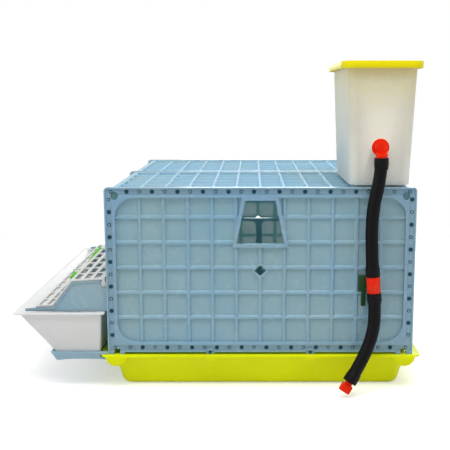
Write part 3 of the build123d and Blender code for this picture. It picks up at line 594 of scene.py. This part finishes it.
divider_half = Vector((divider_end, panel_half_height))
whole_box = rounded_box(-divider_half, divider_half, divider_round)
upper_corners = whole_box[: len(whole_box) // 2]
divider_rim = upper_corners + [
    (-divider_end, foot_z),
    (foot_width - divider_end, foot_z),
    (foot_width - divider_end, -panel_half_height),
    (divider_end - foot_width, -panel_half_height),
    (divider_end - foot_width, foot_z),
    (divider_end, foot_z),
]
window_hole = [
    (-sill_half, window_sill),
    (sill_half, window_sill),
    (top_half, window_top),
    (-top_half, window_top),
]
left_bay = rounded_box(-field_half, Vector((-post_half, bay_top)), bay_round)
right_bay = rounded_box(Vector((post_half, -field_half.y)), Vector((field_half.x, bay_top)), bay_round)
divider_outlines = [divider_rim, window_hole, left_bay, right_bay]
divider_plate = plate("open_divider", divider_outlines, divider_low.y, divider_high.y)
divider = add_piece("open_divider", divider_plate, "blue_plastic")
soften(divider, edge_round, smooth=False)
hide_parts("divider_panel")

# Raised beads along the upper edges of the outer feeder cheeks
bead_proud = 1 * mm
bead_shift = Vector((2.4, -4.0)) * mm
bead_round = 0.4 * mm
cradle_x = -281.8 * mm
cradle_gap = 1.5 * mm
bend_x = -332.5 * mm
flat_fall = 3.5 * mm
slope_fall = 45 * mm
knee_inset = 50 * mm
knee_rise = 3 * mm
lip_run = 46 * mm
for side, outward in (("near", -1), ("far", 1)):
    cheek_low, cheek_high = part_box(f"{side}_feeder_cheek")
    cheek_face = outward * max(abs(cheek_low.y), abs(cheek_high.y))
    cheek_top = cheek_high.z - panel_middle
    bend_z = cheek_top - flat_fall
    knee = Vector((cheek_low.x + knee_inset, bend_z - slope_fall))
    upper_edge = [
        Vector((cradle_x - cradle_gap, cheek_top)),
        Vector((bend_x, bend_z)),
        knee,
        knee - Vector((lip_run, knee_rise * lip_run / knee_inset)),
    ]
    bead_outline = upper_edge + [point + bead_shift for point in reversed(upper_edge)]
    bead_faces = sorted((cheek_face, cheek_face + outward * bead_proud))
    bead_name = f"{side}_cheek_bead"
    bead = add_piece(bead_name, plate(bead_name, [bead_outline], *bead_faces), "blue_plastic")
    soften(bead, bead_round, smooth=False)

# Smooth outlet elbow
flange_radius = 15 * mm
flange_thickness = 4 * mm
flange_chamfer = 1 * mm
flange_setback = 22 * mm
flange_front = elbow_low.y + flange_setback
flange_sides = 32
spigot_radius = 7 * mm
spigot_length = elbow_high.y - flange_front - flange_thickness
pipe_radius = 10.4 * mm
pipe_sides = 24
bend_radius = flange_front - outlet_y
bend_steps = 10
elbow_z = elbow_high.z - flange_radius
elbow_round = 0.5 * mm
flange_profile = [
    (0, -spigot_length),
    (spigot_radius, -spigot_length),
    (spigot_radius, 0),
    (flange_radius - flange_chamfer, 0),
    (flange_radius, flange_chamfer),
    (flange_radius, flange_thickness - flange_chamfer),
    (flange_radius - flange_chamfer, flange_thickness),
    (0, flange_thickness),
]
elbow_shape = bmesh.new()
flange_place = facing((elbow_x, flange_front + flange_thickness, elbow_z), (0, -1, 0))
turned(elbow_shape, flange_profile, flange_place, flange_sides)
pipe_angles = [2 * pi * i / pipe_sides for i in range(pipe_sides)]
pipe_rings = []
for step in range(bend_steps + 2):
    turn = pi / 2 * min(step, bend_steps) / bend_steps
    forward = bend_radius * sin(turn)
    fall = bend_radius * (1 - cos(turn))
    center = Vector((elbow_x, flange_front - forward, elbow_z - fall))
    if step > bend_steps:
        center.z = elbow_low.z
    outwards = Vector((0, sin(turn), cos(turn)))
    spokes = [outwards * cos(a) + Vector((sin(a), 0, 0)) for a in pipe_angles]
    pipe_rings.append([elbow_shape.verts.new(center + pipe_radius * spoke) for spoke in spokes])
join_rings(elbow_shape, pipe_rings, pipe_sides)
elbow_shape.faces.new(pipe_rings[0])
elbow_shape.faces.new(pipe_rings[-1])
elbow = add_shape("smooth_elbow", elbow_shape, "red_plastic")
soften(elbow, elbow_round)
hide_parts("tank_elbow")

# Ringed cuffs at the hoses' ends, tapered towards the hose
cuff_radius = 12.3 * mm
cuff_tail_radius = 11.5 * mm
cuff_grip = 0.5 * mm
cuff_inner_radius = hose_diameter / 2 - cuff_grip
cuff_length = 20 * mm
cuff_sides = 24
cuff_round = 0.3 * mm
ring_proud = 0.5 * mm
ring_half = 1 * mm
ring_heights = (5 * mm, 8.5 * mm, 12 * mm)
plug_along = (lower_route[-1] - lower_route[-2]).normalized()
cuff_ends = {
    "upper": [(elbow_outlet, Vector((0, 0, -1))), (coupling_head, coupling_up)],
    "lower": [(coupling_foot, -coupling_up), (lower_route[-1], -plug_along)],
}
cuff_profile = [(cuff_inner_radius, 0), (cuff_radius, 0)]
for height in ring_heights:
    cuff_profile.append((cuff_radius, height - ring_half))
    cuff_profile.append((cuff_radius + ring_proud, height))
    cuff_profile.append((cuff_radius, height + ring_half))
cuff_profile += [(cuff_tail_radius, cuff_length), (cuff_inner_radius, cuff_length), (cuff_inner_radius, 0)]
cuffs = {}
for hose_name, ends in cuff_ends.items():
    cuff_shape = bmesh.new()
    for end, along in ends:
        turned(cuff_shape, cuff_profile, facing(end, along), cuff_sides)
    bmesh.ops.remove_doubles(cuff_shape, verts=cuff_shape.verts, dist=weld_distance)
    cuffs[hose_name] = add_shape(f"{hose_name}_ringed_cuffs", cuff_shape, "black_rubber")
    soften(cuffs[hose_name], cuff_round)
    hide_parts("hose_cuffs")


# Hoses as smooth curves
def hose(name, route, node):
    """One round hose along a route."""
    curve = bpy.data.curves.new(name, "CURVE")
    curve.dimensions = "3D"
    curve.bevel_depth = hose_diameter / 2
    curve.bevel_resolution = 8
    curve.resolution_u = 16
    curve.use_fill_caps = True
    spline = curve.splines.new("NURBS")
    spline.points.add(len(route) - 1)
    for point, at in zip(spline.points, route):
        point.co = (*at, 1)
    spline.order_u = 3
    spline.use_endpoint_u = True
    piece = add_piece(name, curve, "black_rubber")
    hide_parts(node)


hose("upper_rubber_hose", upper_route, "upper_hose")
hose("lower_rubber_hose", lower_route, "lower_hose")

# Camera
camera_data = bpy.data.cameras.new("camera")
camera = bpy.data.objects.new("camera", camera_data)
bpy.context.scene.collection.objects.link(camera)
camera_data.sensor_width = sensor
camera_data.lens = focal_px / image_size * sensor
camera_data.shift_x = (image_size / 2 - principal_px[0]) / image_size
camera_data.shift_y = (principal_px[1] - image_size / 2) / image_size
camera_data.clip_end = camera_reach
camera.location = camera_at
camera.rotation_euler = (radians(90 - camera_pitch), 0, -radians(camera_yaw))
bpy.context.scene.camera = camera


def seen_directly(make, link):
    """1 for rays from the camera, also reflected or through glass, and 0 for light on the object."""
    path = make("ShaderNodeLightPath")
    total = path.outputs["Is Camera Ray"]
    for kind in ("Is Glossy Ray", "Is Transmission Ray"):
        either = make("ShaderNodeMath", operation="MAXIMUM")
        link(total, either.inputs[0])
        link(path.outputs[kind], either.inputs[1])
        total = either.outputs["Value"]
    return total


# White floor that keeps the object's shadow and fades into the background
floor_half = 12.0
floor_grey = (0.85, 0.85, 0.85, 1)
floor_roughness = 0.9
floor_lift = 0.42
fade_start = 0.75
fade_end = 1.5
floor_shape = bmesh.new()
bmesh.ops.create_grid(floor_shape, x_segments=1, y_segments=1, size=floor_half)
floor_mesh = mesh_of("floor", floor_shape)
floor = bpy.data.objects.new("floor", floor_mesh)
bpy.context.scene.collection.objects.link(floor)
floor_paint, link, floor_shader, make = new_material("floor")
floor_shader.inputs["Base Color"].default_value = floor_grey
floor_shader.inputs["Roughness"].default_value = floor_roughness
floor_shader.inputs["Specular IOR Level"].default_value = 0.0
seen = seen_directly(make, link)
lift = make("ShaderNodeMath", operation="MULTIPLY")
lift.inputs[1].default_value = floor_lift
link(seen, lift.inputs[0])
floor_shader.inputs["Emission Color"].default_value = full_white
link(lift.outputs["Value"], floor_shader.inputs["Emission Strength"])
white_light = make("ShaderNodeEmission", Strength=1.0)
away = make("ShaderNodeVectorMath", operation="LENGTH")
link(make("ShaderNodeTexCoord").outputs["Object"], away.inputs[0])
fade = make("ShaderNodeMapRange", interpolation_type="SMOOTHSTEP")
fade.inputs["From Min"].default_value = fade_start
fade.inputs["From Max"].default_value = fade_end
link(away.outputs["Value"], fade.inputs["Value"])
share = make("ShaderNodeMath", operation="MULTIPLY")
link(fade.outputs["Result"], share.inputs[0])
link(seen, share.inputs[1])
blend = make("ShaderNodeMixShader")
link(share.outputs["Value"], blend.inputs["Fac"])
link(floor_shader.outputs["BSDF"], blend.inputs[1])
link(white_light.outputs["Emission"], blend.inputs[2])
link(blend.outputs["Shader"], floor_paint.node_tree.nodes["Material Output"].inputs["Surface"])
floor_mesh.materials.append(floor_paint)

# Light and background
ambient = 0.31
middle = (cad_low + cad_high) / 2


def lamp(name, at, size, watts):
    """A soft light of a given width and height that looks at the middle of the object."""
    data = bpy.data.lights.new(name, "AREA")
    data.shape = "RECTANGLE"
    data.size, data.size_y = size
    data.energy = watts
    light = bpy.data.objects.new(name, data)
    bpy.context.scene.collection.objects.link(light)
    light.location = at
    light.rotation_euler = (middle - Vector(at)).to_track_quat("-Z", "Y").to_euler()


lamp("left", at=(-2.2, -1.1, 1.2), size=(2.0, 2.0), watts=16)
lamp("right", at=(2.0, -1.2, 1.2), size=(2.0, 2.0), watts=7)
lamp("back", at=(0.4, 2.2, 1.4), size=(1.8, 1.8), watts=34)
lamp("top", at=(0.0, -1.1, 2.5), size=(2.6, 1.2), watts=48)

world = bpy.data.worlds.new("studio")
bpy.context.scene.world = world
world.use_nodes = True
world_link = world.node_tree.links.new
make_sky = node_maker(world.node_tree)
sky = world.node_tree.nodes["Background"]
sky.inputs["Color"].default_value = full_white
level = make_sky("ShaderNodeMapRange")
level.inputs["To Min"].default_value = ambient
level.inputs["To Max"].default_value = 1.0
world_link(seen_directly(make_sky, world_link), level.inputs["Value"])
world_link(level.outputs["Result"], sky.inputs["Strength"])
bpy.context.scene.view_settings.view_transform = "Standard"
